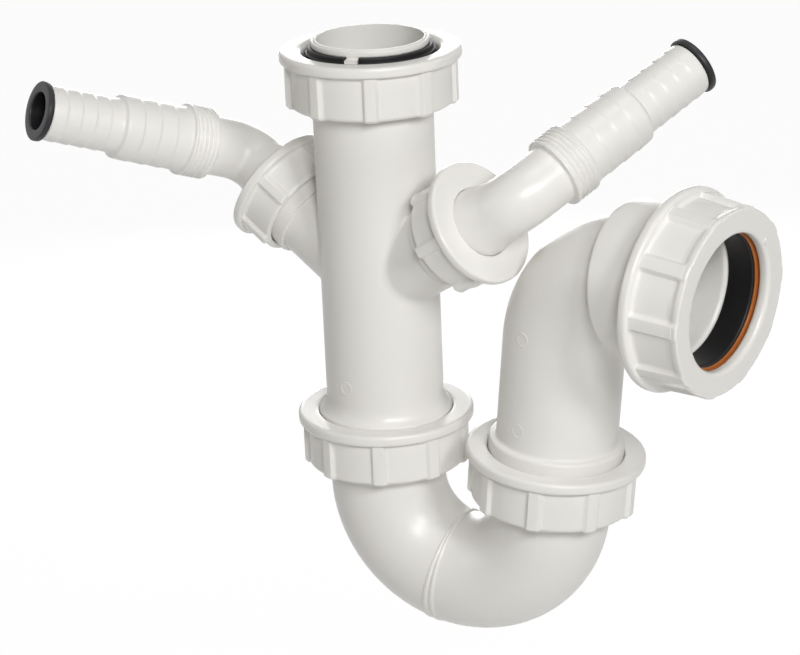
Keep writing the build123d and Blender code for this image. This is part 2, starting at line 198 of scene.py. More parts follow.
def branch_fillet(name, side, steps=8):
    """Fillet ring: a curve bent towards the corner line, from the tube to the branch, closed behind
    in the wall. The corner line is where the lines of the branch lie at the tube's radius."""
    origin, x, y, z = branch_frame(side)
    angle = np.linspace(0, 2 * np.pi, ROUND_SEGMENTS, endpoint=False)[:, None]
    around = np.cos(angle) * x + np.sin(angle) * y

    def corner(radius):
        """Where a branch of this radius meets the tube."""
        a = z[0] ** 2 + z[1] ** 2
        b = radius * (around[:, :2] @ z[:2])
        c = radius ** 2 * (around[:, :2] ** 2).sum(1) - TUBE_RADIUS ** 2
        reach = (-b + np.sqrt(b ** 2 - a * c)) / a
        return origin + reach[:, None] * z + radius * around

    crease = corner(BRANCH_RADIUS)
    tube_side = corner(BRANCH_RADIUS + BRANCH_FILLET)
    branch_side = crease + BRANCH_FILLET * z
    inside = crease - FILLET_ROOT * z - FILLET_ROOT * around
    bend = np.linspace(0, 1, steps)[:, None, None]
    curve = (1 - bend) ** 2 * tube_side + 2 * bend * (1 - bend) * crease + bend ** 2 * branch_side
    return closed_mesh(name, np.concatenate([curve, inside[None]]), ROUND_CREASE)


painted("body_tube", TUBE_PLASTIC)
for side in BRANCH_AZIMUTH:
    dressed(branch_fillet(side + "_branch_fillet", side), TUBE_PLASTIC, "white_plastic", "body")

COLLAR_RADIUS = 24.3
COLLAR_EDGE_TOP = 2.4
COLLAR_BULGE = ((0.12, 2.1), (0.15, 1.6), (0.10, 0.9))
COLLAR_ROOT = (1.5, 0.5)
FLARE_TOP = 9.0
FLARE_BEND = 4.0
FLARE_ROOT = (0.5, 3.0)
MARK_RADIUS = 2.4
MARK_WIDTH = 0.28
MARK_HEIGHT = 0.12
BODY_MARK_ANGLE = math.radians(-102.3)
BODY_MARK_HEIGHT = -121.4


def collar_flare(name, steps=14):
    """Ring that eases the tube out to the collar: a curve bent towards the tube, from the tube's wall
    at the top to the collar's edge, then a slight bulge, closed behind inside the wall. The bulge is
    a step outwards and the roots are steps inwards, each with its height above the foot."""
    t = np.linspace(0, 1, steps)[:, None]
    top = np.array((TUBE_RADIUS, FLARE_TOP))
    bend = np.array((TUBE_RADIUS, FLARE_BEND))
    edge = np.array((COLLAR_RADIUS, COLLAR_EDGE_TOP))
    curve = (1 - t) ** 2 * top + 2 * t * (1 - t) * bend + t ** 2 * edge
    bulge = np.array((COLLAR_RADIUS, 0)) + COLLAR_BULGE
    collar_root = (COLLAR_RADIUS - COLLAR_ROOT[0], COLLAR_ROOT[1])
    flare_root = (TUBE_RADIUS - FLARE_ROOT[0], FLARE_ROOT[1])
    outline = np.concatenate([curve, bulge, [collar_root, flare_root]])
    angle = np.linspace(0, 2 * np.pi, ROUND_SEGMENTS, endpoint=False)
    radius, height = outline[:, :1], outline[:, 1:]
    level = np.broadcast_to(height - BODY_LENGTH, (len(outline), ROUND_SEGMENTS))
    points = np.stack([radius * np.cos(angle), radius * np.sin(angle), level], axis=-1)
    return closed_mesh(name, points, ROUND_CREASE)


def tube_mark(name, place, tube, angle, height, segments=48, sides=8):
    """Thin raised circle laid on a round tube: a small ring section, carried round the circle, with the
    circle's width wrapped round the tube as arc length."""
    origin, x, y, z = place
    round_circle = np.linspace(0, 2 * np.pi, segments, endpoint=False)[:, None]
    section = np.linspace(0, 2 * np.pi, sides, endpoint=False)[None]
    reach = MARK_RADIUS + MARK_WIDTH * np.cos(section)
    turn = angle + reach * np.cos(round_circle) / tube
    rise = (height + reach * np.sin(round_circle))[..., None]
    out = np.broadcast_to(tube + MARK_HEIGHT * np.sin(section), turn.shape)[..., None]
    points = origin + rise * z + out * (np.cos(turn)[..., None] * x + np.sin(turn)[..., None] * y)
    return closed_mesh(name, points, ROUND_CREASE)


dressed(collar_flare("body_collar_flare"), TUBE_PLASTIC, "white_plastic", "body")
body_frame = frame_of((0, 0, 0), (1, 0, 0), (0, 0, 1))
mark = tube_mark("body_tube_mark", body_frame, TUBE_RADIUS, BODY_MARK_ANGLE, BODY_MARK_HEIGHT)
dressed(mark, TUBE_PLASTIC, "white_plastic", "body")

# Inlet washer: a moulded ring of black rubber that lies on the tube's flange and seals against
# the sink waste. Its raised lip is notched where two lugs of the tube hold it down, and the
# rounded white lip of the tube's spigot stands above it.
WASHER_OUTER = 23.0
WASHER_INNER = 20.7
WASHER_THICKNESS = 3.0
WASHER_LIP_RADIUS = 22.3
WASHER_LIP_HEIGHT = 1.9
LUG_COUNT = 2
LUG_HALF_WIDTH = 2.6
LUG_ANGLE = math.radians(-79.0)
LUG_SOFTNESS = 0.2
WASHER_ROUNDING = 0.4
WASHER_STEP = 0.4
WASHER_SEGMENTS = 360
SPIGOT_WALL_MIDDLE = 19.9
SPIGOT_LIP_RADIUS = 21.0
SPIGOT_LIP_TOP = 4.0
SPIGOT_LIP_ROUNDING = 0.8
RING_SEGMENTS = 128
CORNER_STEPS = 5
RUBBER_BLACK = (0.007, 0.007, 0.008)
RUBBER = moulded_material("black_rubber", RUBBER_BLACK, roughness=0.45, flow=0.5, bump=0.3, specular=0.3)


def softened(corners, rounding, steps=CORNER_STEPS, limit=0.45):
    """Outline with every corner replaced by a curve that leaves one side and joins the next,
    at a distance of the rounding, or of the limit's share of the shorter side."""
    corners = np.array(corners, float)
    points = []
    for before, corner, after in zip(np.roll(corners, 1, 0), corners, np.roll(corners, -1, 0)):
        back, ahead = before - corner, after - corner
        reach = min(rounding, limit * np.linalg.norm(back), limit * np.linalg.norm(ahead))
        first = corner + back / np.linalg.norm(back) * reach
        last = corner + ahead / np.linalg.norm(ahead) * reach
        t = np.linspace(0, 1, steps)[:, None]
        points.append((1 - t) ** 2 * first + 2 * t * (1 - t) * corner + t ** 2 * last)
    return np.concatenate(points)


def stretched(outline, step):
    """Outline with extra points, so that none of its sides is longer than the step, which is one
    value or one for each side."""
    ahead = np.roll(outline, -1, 0)
    counts = np.maximum(1, np.ceil(np.linalg.norm(ahead - outline, axis=1) / step)).astype(int)
    start = np.repeat(outline, counts, axis=0)
    run = np.repeat(ahead - outline, counts, axis=0)
    number = np.arange(counts.sum()) - np.repeat(np.cumsum(counts) - counts, counts)
    share = number / np.repeat(counts, counts)
    return start + run * share[:, None]


def refined(outline, step, start, end, fine_step):
    """Stretched outline whose sides between two distances along the path take the fine step instead."""
    coarse = stretched(outline, step)
    near = (coarse[:, 1] > start) & (coarse[:, 1] < end)
    return stretched(coarse, np.where(near, fine_step, step))


def straight(place):
    """Path along a frame's Z: the centre moves along Z and the side stays on X."""
    origin, x, y, z = place
    return lambda distance: (origin + distance[:, None] * z, np.broadcast_to(x, (len(distance), 3)), y)


def bent(place, straight_length, bend_radius, turn):
    """Path along Z that turns towards X on an arc: with the arc's angle limited to the turn,
    centre = arc point + what is left of the distance along the arc's tangent."""
    origin, x, y, z = place

    def path(distance):
        """Centres and side directions at these distances."""
        angle = np.clip((distance - straight_length) / bend_radius, 0, turn)
        left = distance - straight_length - bend_radius * angle
        sideways = bend_radius * (1 - np.cos(angle)) + left * np.sin(angle)
        upward = straight_length + bend_radius * np.sin(angle) + left * np.cos(angle)
        centre = origin + sideways[:, None] * x + upward[:, None] * z
        side = np.cos(angle)[:, None] * x - np.sin(angle)[:, None] * z
        return centre, side, y

    return path


def carried(name, outline, path, segments, relief=None, crease=35):
    """Closed outline of (radius, distance) points carried round a path:
    point = centre(distance) + radius * (cos angle * side + sin angle * across)."""
    radius, distance = outline.T
    centre, side, across = path(distance)
    angle = np.linspace(0, 2 * np.pi, segments, endpoint=False)
    spread = np.repeat(radius[:, None], segments, axis=1)
    if relief:
        spread = relief(spread, distance[:, None], angle[None])
    turn = np.cos(angle)[None, :, None] * side[:, None] + np.sin(angle)[None, :, None] * across
    return closed_mesh(name, centre[:, None] + spread[..., None] * turn, crease)


def ring_outline(outer, inner, bottom, top, rounding):
    """Rounded rectangular section of a ring."""
    return softened([(inner, bottom), (outer, bottom), (outer, top), (inner, top)], rounding)


def ribs(count, half_width, softness, barrel, phase=0.0):
    """Rib share round a nut: 1 on a rib and 0 between, eased over the softness at its edges.
    The distance from the nearest rib is an arc length on the barrel."""
    def share(angle):
        """Rib share at these angles."""
        turns = (angle - phase) * count / (2 * np.pi)
        away = np.abs(turns - np.round(turns)) * 2 * np.pi / count * barrel
        t = np.clip((half_width + softness - away) / (2 * softness), 0, 1)
        return t * t * (3 - 2 * t)
    return share


lug_share = ribs(LUG_COUNT, LUG_HALF_WIDTH, LUG_SOFTNESS, WASHER_LIP_RADIUS, LUG_ANGLE)


def lug_notch(radius, distance, angle):
    """Take the raised lip back into the spigot's wall where a lug of the tube holds the washer down."""
    notched = radius + lug_share(angle) * (SPIGOT_WALL_MIDDLE - radius)
    return np.where(distance > 0, notched, radius)


washer_outline = softened([
    (WASHER_INNER, -WASHER_THICKNESS),
    (WASHER_OUTER, -WASHER_THICKNESS),
    (WASHER_OUTER, 0),
    (WASHER_LIP_RADIUS, 0),
    (WASHER_LIP_RADIUS, WASHER_LIP_HEIGHT),
    (WASHER_INNER, WASHER_LIP_HEIGHT),
], WASHER_ROUNDING)
washer = carried("inlet_washer_ring", stretched(washer_outline, WASHER_STEP), straight(body_frame),
                 WASHER_SEGMENTS, lug_notch)
dressed(washer, RUBBER, "black_rubber", "body", "inlet_washer")
spigot_lip = ring_outline(SPIGOT_LIP_RADIUS, SPIGOT_WALL_MIDDLE, WASHER_LIP_HEIGHT, SPIGOT_LIP_TOP,
                          SPIGOT_LIP_ROUNDING)
lip = carried("inlet_spigot_lip", spigot_lip, straight(body_frame), RING_SEGMENTS)
dressed(lip, TUBE_PLASTIC, "white_plastic", "body")

# Inlet nut: a ribbed polypropylene nut that hangs on the tube by a lip, with its threaded
# mouth at the top. Nine grip ribs run from the rounded rim to the lower edge.
NUT_RIM_RADIUS = 32.3
NUT_RIM_HALF = 2.0
NUT_LENGTH = 20.0
NUT_BARREL_RADIUS = 29.4
NUT_RIB_RADIUS = 30.8
NUT_RIB_HALF_WIDTH = 2.4
NUT_RIB_COUNT = 9
NUT_RIB_SOFTNESS = 0.7
NUT_EDGE = 1.0
NUT_DROP = 1.2
NUT_WALL_MIDDLE = 27.6
NUT_ROUNDING = 1.4
RIB_SEGMENTS = 44
SAME_RADIUS = 0.01
NUT_TURN = {"inlet": math.radians(17.4), "body": math.radians(11.9), "leg": math.radians(0.8)}
INLET_THREAD_RADIUS = 23.9
INLET_THREAD_PITCH = 2.31
INLET_THREAD_DEPTH = 0.6
INLET_LIP_RADIUS = 21.58
INLET_LIP_THICKNESS = 3.4
INLET_CHAMFER = 1.6
INLET_STEP = 0.5
NUT_WHITE = (0.85, 0.84, 0.81)
NUT_PLASTIC = moulded_material("nut_polypropylene", NUT_WHITE, roughness=0.24, flow=0.03, bump=0.08)
NUT_BOTTOM = NUT_RIM_HALF - NUT_LENGTH


def rib_relief(share, top, inner):
    """Lift the outside of a nut to the ribs' own outline: radius + share * (rib radius - radius)."""
    def relief(radius, distance, angle):
        """Radius with the ribs raised."""
        target = top(distance)
        lifted = radius + share(angle) * (target - radius)
        return np.where((radius > inner) & (radius < target), lifted, radius)
    return relief


def thread_wave(distance, angle, pitch):
    """Helical wave from 0 to 1: the height along the axis less the turn, folded once each pitch."""
    phase = distance / pitch - angle / (2 * np.pi)
    return 0.5 - 0.5 * np.cos(2 * np.pi * phase)


def main_rib_top(distance):
    """Radius of the ribs of a main nut, drawn in at the lower edge."""
    return NUT_RIB_RADIUS - np.maximum(0, NUT_EDGE - (distance - NUT_BOTTOM))


def main_nut_outside():
    """Outside corners of a main nut, from its lower edge to the top of its rim."""
    return [
        (NUT_BARREL_RADIUS - NUT_EDGE, NUT_BOTTOM),
        (NUT_BARREL_RADIUS, NUT_BOTTOM + NUT_EDGE),
        (NUT_BARREL_RADIUS, -NUT_RIM_HALF),
        (NUT_RIM_RADIUS, -NUT_RIM_HALF),
        (NUT_RIM_RADIUS, NUT_RIM_HALF),
    ]


nut_ribs = {
    nut: rib_relief(ribs(NUT_RIB_COUNT, NUT_RIB_HALF_WIDTH, NUT_RIB_SOFTNESS, NUT_BARREL_RADIUS, turn),
                    main_rib_top, NUT_WALL_MIDDLE)
    for nut, turn in NUT_TURN.items()
}
inlet_lip_top = NUT_BOTTOM + INLET_LIP_THICKNESS
thread_top = NUT_RIM_HALF - INLET_CHAMFER


def inlet_relief(radius, distance, angle):
    """Ribs outside, and a thread inside between the lip and the mouth."""
    ribbed = nut_ribs["inlet"](radius, distance, angle)
    inside = np.abs(radius - INLET_THREAD_RADIUS) < SAME_RADIUS
    ease = np.clip((thread_top - distance) / INLET_THREAD_PITCH, 0, 1)
    ease = ease * np.clip((distance - inlet_lip_top) / INLET_THREAD_PITCH, 0, 1)
    ridge = INLET_THREAD_DEPTH * ease * thread_wave(distance, angle, INLET_THREAD_PITCH)
    return np.where(inside, ribbed - ridge, ribbed)


inlet_inside = [
    (INLET_THREAD_RADIUS + INLET_CHAMFER, NUT_RIM_HALF),
    (INLET_THREAD_RADIUS, thread_top),
    (INLET_THREAD_RADIUS, inlet_lip_top),
    (INLET_LIP_RADIUS, inlet_lip_top),
    (INLET_LIP_RADIUS, NUT_BOTTOM),
]
inlet_nut_frame = frame_of((0, 0, -NUT_DROP), (1, 0, 0), (0, 0, 1))
inlet_outline = softened(main_nut_outside() + inlet_inside, NUT_ROUNDING)
nut = carried("inlet_nut_shell", stretched(inlet_outline, INLET_STEP), straight(inlet_nut_frame),
              NUT_RIB_COUNT * RIB_SEGMENTS, inlet_relief)
dressed(nut, NUT_PLASTIC, "white_plastic", "inlet_nut", "inlet_nut")

# Joint nuts: two of the same ribbed nuts, closed at the top by a lip that presses the tube's
# flange and its rubber seal onto the U-bend.
JOINT_HOLE_RADIUS = 24.5
JOINT_BORE_RADIUS = 26.35
JOINT_LIP_THICKNESS = 3.4
NUT_STEP = 0.6
SPLAY = math.radians(5.64)
BEND_RADIUS = 33.2
BODY_LEG = 25.2
OUTLET_LEG = 22.5
leg_axis = np.array((math.sin(SPLAY), 0, math.cos(SPLAY)))
leg_side = np.array((math.cos(SPLAY), 0, -math.sin(SPLAY)))
bend_middle = np.array((BEND_RADIUS, 0, -BODY_LENGTH - BODY_LEG))
leg_rim = bend_middle + leg_side * BEND_RADIUS + leg_axis * OUTLET_LEG
joint_frames = {
    "body": frame_of((0, 0, -BODY_LENGTH), (1, 0, 0), (0, 0, 1)),
    "leg": frame_of(leg_rim, leg_side, leg_axis),
}
joint_inside = [
    (JOINT_HOLE_RADIUS, NUT_RIM_HALF),
    (JOINT_HOLE_RADIUS, NUT_RIM_HALF - JOINT_LIP_THICKNESS),
    (JOINT_BORE_RADIUS, NUT_RIM_HALF - JOINT_LIP_THICKNESS),
    (JOINT_BORE_RADIUS, NUT_BOTTOM),
]
joint_outline = stretched(softened(main_nut_outside() + joint_inside, NUT_ROUNDING), NUT_STEP)
for joint, place in joint_frames.items():
    nut = carried(joint + "_nut_shell", joint_outline, straight(place),
                  NUT_RIB_COUNT * RIB_SEGMENTS, nut_ribs[joint])
    dressed(nut, NUT_PLASTIC, "white_plastic", joint + "_nut", joint + "_nut")
    painted(joint + "_seal", RUBBER)

# U-bend: a polypropylene tube bent through nearly half a turn, with a threaded socket at each
# end. The bead round the bend is where the mould halves meet.
BEND_TUBE_RADIUS = 21.3
BEND_BORE = 18.9
SOCKET_THREAD_RADIUS = 26.0
SOCKET_END = 8.0
SOCKET_THREAD_LENGTH = 9.0
SOCKET_TAPER = 4.5
RECESS_RADIUS = 21.0
RECESS_END = 14.6
BEND_TURN = math.pi - SPLAY
BEAD_ANGLE = math.radians(78.0)
BEAD_HALF_WIDTH = 1.1
BEAD_RIDGE = 0.75
BEAD_HEIGHT = 0.45
BEAD_ZONE = 3.0
BEAD_STEP = 0.3
BEND_STEP = 1.2
BEND_ROUNDING = 0.8
TUBE_SEGMENTS = 144
bend_total = BODY_LEG + BEND_RADIUS * BEND_TURN + OUTLET_LEG
thread_end = SOCKET_END + SOCKET_THREAD_LENGTH
taper_end = thread_end + SOCKET_TAPER
near_outside = [
    (SOCKET_THREAD_RADIUS, SOCKET_END),
    (SOCKET_THREAD_RADIUS, thread_end),
    (BEND_TUBE_RADIUS, taper_end),
]
near_inside = [(BEND_BORE, RECESS_END), (RECESS_RADIUS, RECESS_END), (RECESS_RADIUS, SOCKET_END)]
far_outside = [(radius, bend_total - distance) for radius, distance in reversed(near_outside)]
far_inside = [(radius, bend_total - distance) for radius, distance in reversed(near_inside)]
bead_centre = BODY_LEG + BEND_RADIUS * BEAD_ANGLE


def bead_relief(radius, distance, angle):
    """Two fine ridges side by side round the bend: each falls off as the exponential of minus the
    fourth power of the distance from its own middle."""
    away = np.abs(distance - bead_centre)
    ridge = np.exp(-((away - BEAD_HALF_WIDTH) / BEAD_RIDGE) ** 4)
    outside = np.abs(radius - BEND_TUBE_RADIUS) < SAME_RADIUS
    return np.where(outside, radius + BEAD_HEIGHT * ridge, radius)


bend_frame = frame_of((0, 0, -BODY_LENGTH), (1, 0, 0), (0, 0, -1))
bend_corners = softened(near_outside + far_outside + far_inside + near_inside, BEND_ROUNDING)
bend_outline = refined(bend_corners, BEND_STEP, bead_centre - BEAD_ZONE, bead_centre + BEAD_ZONE, BEAD_STEP)
bend = carried("u_bend_shell", bend_outline, bent(bend_frame, BODY_LEG, BEND_RADIUS, BEND_TURN),
               TUBE_SEGMENTS, bead_relief)
dressed(bend, TUBE_PLASTIC, "white_plastic", "u_bend", "u_bend")

# Outlet elbow: leg, swept bend and pipe socket in one moulding. The leg ends in a collar,
# flange and spigot like the body tube's, the socket carries the thread of the outlet nut, and two
# small raised ring marks are moulded on the leg.
ELBOW_RADIUS = 21.8
ELBOW_BORE = 19.4
ELBOW_BEND_RADIUS = 31.0
ELBOW_TURN = math.radians(88.0)
ELBOW_SWIVEL = math.radians(-11.4)
OUTLET_DROP = 69.1
LEG_COLLAR_RADIUS = 24.3
LEG_COLLAR_HEIGHT = 6.0
LEG_COLLAR_SLOPE = 0.4
LEG_FLANGE_RADIUS = 25.7
LEG_FLANGE_TOP = -1.7
LEG_FLANGE_BOTTOM = -4.7
LEG_SPIGOT_RADIUS = 20.5
LEG_SPIGOT_END = -12.7
LEG_SPIGOT_BORE = 19.1
LEG_BORE_SLOPE = 1.0
LEG_MARK_ANGLES = (math.radians(-97.9), math.radians(-96.1))
LEG_MARK_HEIGHTS = (48.8, 14.5)
OUTLET_COLLAR_RADIUS = 27.0
OUTLET_COLLAR_START = 25.6
OUTLET_END = 49.8
OUTLET_THREAD_RADIUS = 29.0
OUTLET_THREAD_LENGTH = 5.6
OUTLET_BORE = 21.9
OUTLET_BORE_DEPTH = 16.7
OUTLET_CHAMFER = 1.2
ELBOW_ROUNDING = 0.9
ELBOW_STEP = 0.9
elbow_setback = ELBOW_BEND_RADIUS * math.tan(ELBOW_TURN / 2)
leg_height = (-OUTLET_DROP - leg_rim[2]) / math.cos(SPLAY)
elbow_start = leg_height - elbow_setback
elbow_side = math.cos(ELBOW_SWIVEL) * leg_side + math.sin(ELBOW_SWIVEL) * np.array((0, 1, 0))
elbow_frame = frame_of(leg_rim, elbow_side, leg_axis)


def past_elbow(distance):
    """Path distance of a place measured from the elbow's corner."""
    return elbow_start + ELBOW_BEND_RADIUS * ELBOW_TURN + distance - elbow_setback


elbow_outline = [
    (LEG_SPIGOT_BORE, LEG_SPIGOT_END),
    (LEG_SPIGOT_RADIUS, LEG_SPIGOT_END),
    (LEG_SPIGOT_RADIUS, LEG_FLANGE_BOTTOM),
    (LEG_FLANGE_RADIUS, LEG_FLANGE_BOTTOM),
    (LEG_FLANGE_RADIUS, LEG_FLANGE_TOP),
    (LEG_COLLAR_RADIUS, LEG_FLANGE_TOP),
    (LEG_COLLAR_RADIUS, LEG_COLLAR_HEIGHT),
    (ELBOW_RADIUS, LEG_COLLAR_HEIGHT + LEG_COLLAR_SLOPE),
    (ELBOW_RADIUS, past_elbow(OUTLET_COLLAR_START)),
    (OUTLET_COLLAR_RADIUS, past_elbow(OUTLET_COLLAR_START)),
    (OUTLET_COLLAR_RADIUS, past_elbow(OUTLET_END - OUTLET_THREAD_LENGTH)),
    (OUTLET_THREAD_RADIUS, past_elbow(OUTLET_END - OUTLET_THREAD_LENGTH)),
    (OUTLET_THREAD_RADIUS, past_elbow(OUTLET_END)),
    (OUTLET_BORE + OUTLET_CHAMFER, past_elbow(OUTLET_END)),
    (OUTLET_BORE, past_elbow(OUTLET_END - OUTLET_CHAMFER)),
    (OUTLET_BORE, past_elbow(OUTLET_END - OUTLET_BORE_DEPTH)),
    (ELBOW_BORE, past_elbow(OUTLET_END - OUTLET_BORE_DEPTH)),
    (ELBOW_BORE, LEG_COLLAR_HEIGHT),
    (LEG_SPIGOT_BORE, LEG_COLLAR_HEIGHT - LEG_BORE_SLOPE),
]
elbow = carried("outlet_elbow_shell", stretched(softened(elbow_outline, ELBOW_ROUNDING), ELBOW_STEP),
                bent(elbow_frame, elbow_start, ELBOW_BEND_RADIUS, ELBOW_TURN), TUBE_SEGMENTS)
dressed(elbow, TUBE_PLASTIC, "white_plastic", "outlet", "outlet_elbow")
for number, (angle, height) in enumerate(zip(LEG_MARK_ANGLES, LEG_MARK_HEIGHTS)):
    mark = tube_mark(f"leg_mark_{number}", elbow_frame, ELBOW_RADIUS, angle, height)
    dressed(mark, TUBE_PLASTIC, "white_plastic", "outlet")

# Outlet seal and slip ring: a thick black rubber ring on the end of the socket grips the waste
# pipe, and a thin orange-brown plastic ring lets the nut turn without dragging the rubber.
SEAL_OUTER = 28.85
SEAL_BORE = 22.6
SLIP_BORE = 23.3
SEAL_TOP = 59.9
SLIP_TOP = 60.7
SEAL_ROUNDING = 0.8
SLIP_ROUNDING = 0.35
SLIP_ORANGE = (0.42, 0.13, 0.025)
SLIP_PLASTIC = moulded_material("slip_ring_plastic", SLIP_ORANGE, roughness=0.35, flow=0.1, bump=0.1)
outlet_along = math.cos(ELBOW_TURN) * leg_axis + math.sin(ELBOW_TURN) * elbow_side
outlet_across = np.cross(leg_axis, elbow_side)
outlet_corner = leg_rim + leg_axis * leg_height
outlet_frame = frame_of(outlet_corner, np.cross(outlet_across, outlet_along), outlet_along)
seal_outline = ring_outline(SEAL_OUTER, SEAL_BORE, OUTLET_END, SEAL_TOP, SEAL_ROUNDING)
seal = carried("outlet_seal_ring", seal_outline, straight(outlet_frame), RING_SEGMENTS)
dressed(seal, RUBBER, "black_rubber", "outlet", "outlet_seal")
slip_outline = ring_outline(SEAL_OUTER, SLIP_BORE, SEAL_TOP, SLIP_TOP, SLIP_ROUNDING)
slip = carried("outlet_slip_ring_disc", slip_outline, straight(outlet_frame), RING_SEGMENTS)
dressed(slip, SLIP_PLASTIC, "slip_ring", "outlet", "outlet_slip_ring")

# Outlet nut: a larger ribbed nut that tapers towards its rounded front lip. Ten bars run from
# the wide rear rim to the front, the panels between them are sunk into the wall, and the mould's
# gate leaves a small round mark on the front face.
OUTLET_REACH = 65.4
OUTLET_NUT_LENGTH = 22.1
OUTLET_RIM_RADIUS = 35.8
OUTLET_RIM_THICKNESS = 4.0
OUTLET_BARREL_RADIUS = 32.5
OUTLET_FACE_RADIUS = 33.2
OUTLET_PANEL_DEPTH = 1.7
OUTLET_FACE_ROUNDING = 2.6
OUTLET_LIP_THICKNESS = 4.4
OUTLET_HOLE_RADIUS = 23.8
OUTLET_NUT_BORE = 29.35
OUTLET_RIB_COUNT = 10
OUTLET_RIB_HALF_WIDTH = 2.7
OUTLET_RIB_SOFTNESS = 0.8
OUTLET_WALL_MIDDLE = 30.4
OUTLET_LIP_DIP = 0.6
OUTLET_LIP_SLOPE = 2.4
OUTLET_NUT_TURN = math.radians(21.0)
OUTLET_ROUNDING = 2.0
OUTLET_CORNER_STEPS = 7
nut_rear = OUTLET_REACH - OUTLET_NUT_LENGTH
rim_front = nut_rear + OUTLET_RIM_THICKNESS
panel_front = OUTLET_REACH - OUTLET_FACE_ROUNDING - OUTLET_PANEL_DEPTH


def outlet_rib_top(distance):
    """Radius of the outlet nut's bars: a straight taper from the rim to the front lip."""
    along = np.clip((distance - rim_front) / (panel_front - rim_front), 0, 1)
    at_rim = OUTLET_BARREL_RADIUS + OUTLET_PANEL_DEPTH
    return at_rim + along * (OUTLET_FACE_RADIUS - at_rim)


bar_share = ribs(OUTLET_RIB_COUNT, OUTLET_RIB_HALF_WIDTH, OUTLET_RIB_SOFTNESS, OUTLET_BARREL_RADIUS,
                 OUTLET_NUT_TURN)
outlet_bars = rib_relief(bar_share, outlet_rib_top, OUTLET_WALL_MIDDLE)


def outlet_relief(radius, distance, angle):
    """Bars from the rim up to the front lip, and a lip that dips a little between them: the dip grows
    from nothing on the face to its full depth at the lip's outer edge."""
    between = (distance > nut_rear + OUTLET_RIM_THICKNESS / 2) & (distance < panel_front + OUTLET_LIP_SLOPE)
    raised = np.where(between, outlet_bars(radius, distance, angle), radius)
    edge = np.clip((radius - OUTLET_FACE_RADIUS) / OUTLET_PANEL_DEPTH + 1, 0, 1)
    dip = OUTLET_LIP_DIP * edge * (1 - bar_share(angle))
    return np.where(distance > panel_front, raised - dip, raised)


outlet_nut_outline = softened([
    (OUTLET_NUT_BORE, nut_rear),
    (OUTLET_RIM_RADIUS, nut_rear),
    (OUTLET_RIM_RADIUS, rim_front),
    (OUTLET_BARREL_RADIUS, rim_front),
    (OUTLET_FACE_RADIUS - OUTLET_PANEL_DEPTH, panel_front),
    (OUTLET_FACE_RADIUS, panel_front + OUTLET_LIP_SLOPE),
    (OUTLET_FACE_RADIUS, OUTLET_REACH),
    (OUTLET_HOLE_RADIUS, OUTLET_REACH),
    (OUTLET_HOLE_RADIUS, OUTLET_REACH - OUTLET_LIP_THICKNESS),
    (OUTLET_NUT_BORE, OUTLET_REACH - OUTLET_LIP_THICKNESS),
], OUTLET_ROUNDING, OUTLET_CORNER_STEPS)
nut = carried("outlet_nut_shell", stretched(outlet_nut_outline, NUT_STEP), straight(outlet_frame),
              OUTLET_RIB_COUNT * RIB_SEGMENTS, outlet_relief)
dressed(nut, NUT_PLASTIC, "white_plastic", "outlet_nut", "outlet_nut")

GATE_RADIUS = 1.3
GATE_HEIGHT = 0.25
GATE_REACH = 26.3
GATE_ANGLE = math.radians(129.8)
GATE_SEGMENTS = 32
origin, x, y, z = outlet_frame
gate_frame = frame_of(origin + GATE_REACH * (math.cos(GATE_ANGLE) * x + math.sin(GATE_ANGLE) * y), x, z)
gate_bottom, gate_top = OUTLET_REACH - GATE_HEIGHT, OUTLET_REACH + GATE_HEIGHT
gate_outline = [(0, gate_bottom), (GATE_RADIUS, gate_bottom), (GATE_RADIUS, gate_top), (0, gate_top)]
gate = carried("outlet_nut_gate", np.array(gate_outline), straight(gate_frame), GATE_SEGMENTS)
dressed(gate, NUT_PLASTIC, "white_plastic", "outlet_nut")

# Branch nuts and washers: a small ribbed nut on each branch, closed by a lip over the
# nozzle's flange, with a rubber washer under the flange.
BRANCH_RIM_REACH = 53.5
BRANCH_RIM_RADIUS = 22.6
BRANCH_RIM_THICKNESS = 3.4
BRANCH_NUT_LENGTH = 15.6
BRANCH_BARREL_RADIUS = 19.5
BRANCH_RIB_RADIUS = 21.1
BRANCH_RIB_HALF_WIDTH = 2.0
BRANCH_RIB_COUNT = 6
BRANCH_NUT_TURN = {"right": math.radians(31.0), "left": math.radians(59.0)}
BRANCH_NUT_BORE = 16.95
BRANCH_HOLE_RADIUS = 12.6
BRANCH_LIP_THICKNESS = 3.0
BRANCH_EDGE = 0.6
BRANCH_RIB_SOFTNESS = 0.6
BRANCH_WALL_MIDDLE = 18.2
BRANCH_ROUNDING = 1.1
branch_rim_top = BRANCH_RIM_REACH + BRANCH_RIM_THICKNESS / 2
branch_rim_rear = branch_rim_top - BRANCH_RIM_THICKNESS
branch_mouth = branch_rim_top - BRANCH_NUT_LENGTH


def branch_rib_top(distance):
    """Radius of a branch nut's ribs, drawn in at the mouth."""
    return BRANCH_RIB_RADIUS - np.maximum(0, BRANCH_EDGE - (distance - branch_mouth))


